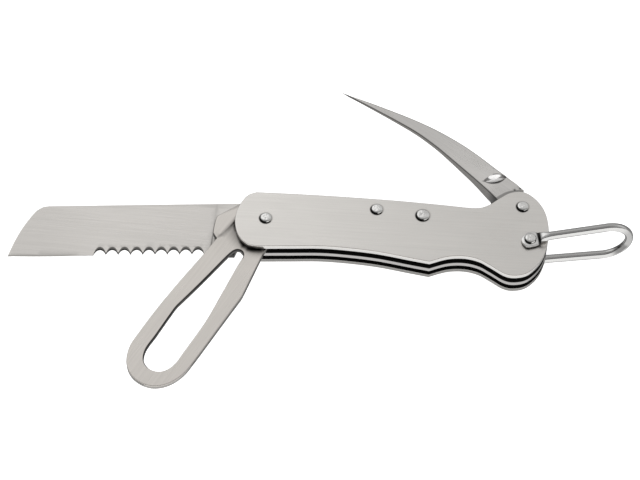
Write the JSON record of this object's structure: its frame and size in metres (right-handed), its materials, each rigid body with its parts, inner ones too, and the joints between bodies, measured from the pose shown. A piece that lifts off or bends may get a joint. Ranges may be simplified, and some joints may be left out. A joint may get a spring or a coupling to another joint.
{
  "type": "rigging knife",
  "caption": "Folding stainless rigging knife: serrated sheepsfoot blade, shackle key, marlinspike and wire bail.",
  "frame": {"origin": "on the rear scale's outer face, halfway along the handle", "axes": "+X along the handle towards the bail, +Y towards the back and the marlinspike, +Z from the rear scale to the front scale"},
  "size_m": [0.2141, 0.1297, 0.0195],
  "materials": {
    "scale_steel": "satin stainless, brushed along the handle",
    "liner_steel": "plain rolled stainless",
    "spring_steel": "ground spring steel",
    "blade_steel": "fine satin stainless, flat ground",
    "key_steel": "tumbled satin stainless",
    "spike_steel": "semi-polished stainless",
    "polished_wire": "polished stainless wire",
    "rivet_steel": "polished stainless"
  },
  "bodies": {
    "handle": {"rear_scale": "scale_steel", "center_liner": "liner_steel", "front_scale": "scale_steel", "blade_backspring": "spring_steel", "key_backspring": "spring_steel", "blade_slot_spacer": "spring_steel", "key_slot_spacer": "spring_steel", "blade_pivot_rivet": "rivet_steel", "front_spring_rivet": "rivet_steel", "rear_spring_rivet": "rivet_steel", "spike_pivot_rivet": "rivet_steel", "bail_rivet": "rivet_steel"},
    "blade": {"blade": "blade_steel"},
    "key": {"shackle_key": "key_steel"},
    "spike": {"marlinspike": "spike_steel"},
    "bail": {"bail": "polished_wire"}
  },
  "joints": [
    {"name": "blade_pivot", "type": "hinge", "parent": "handle", "child": "blade", "pos_m": [-0.0435, 0, 0.00285], "axis": [0, 0, 1], "range_deg": [0, 163]},
    {"name": "key_pivot", "type": "hinge", "parent": "handle", "child": "key", "pos_m": [-0.0435, 0, 0.0069], "axis": [0, 0, 1], "range_deg": [0, 107]},
    {"name": "spike_pivot", "type": "hinge", "parent": "handle", "child": "spike", "pos_m": [0.0444, 0.0137, 0.00495], "axis": [0, 0, 1], "range_deg": [-130, 35]},
    {"name": "bail_pivot", "type": "hinge", "parent": "handle", "child": "bail", "pos_m": [0.0476, -0.0003, 0.00495], "axis": [0, 0, 1], "range_deg": [-130, 3]}
  ]
}
